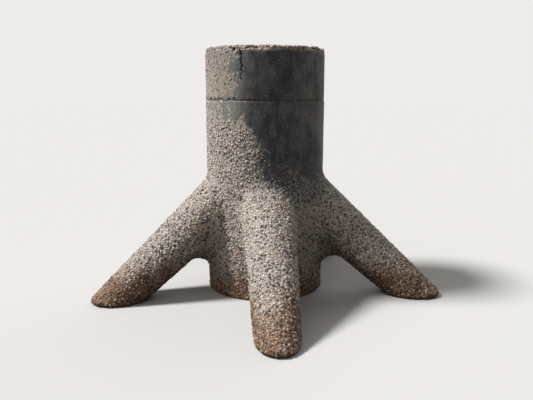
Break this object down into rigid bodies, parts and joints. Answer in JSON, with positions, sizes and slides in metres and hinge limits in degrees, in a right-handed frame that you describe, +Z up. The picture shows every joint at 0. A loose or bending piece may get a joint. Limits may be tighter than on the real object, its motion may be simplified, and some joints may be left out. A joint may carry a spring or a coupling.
{
  "type": "concrete armour unit",
  "caption": "Cast concrete coastal armour unit: a thick round column with raking tapered legs around its foot, to break waves in a groyne or sea wall.",
  "frame": {"origin": "centre of the column's flat base, on the ground", "axes": "+Z up along the column's axis, +Y along the one leg that lies in the plane of symmetry"},
  "size_m": [2.695, 2.5754, 1.9],
  "materials": {
    "concrete": "weathered exposed-aggregate concrete, matt"
  },
  "bodies": {
    "root": {"tetrapod": "concrete"}
  },
  "joints": []
}
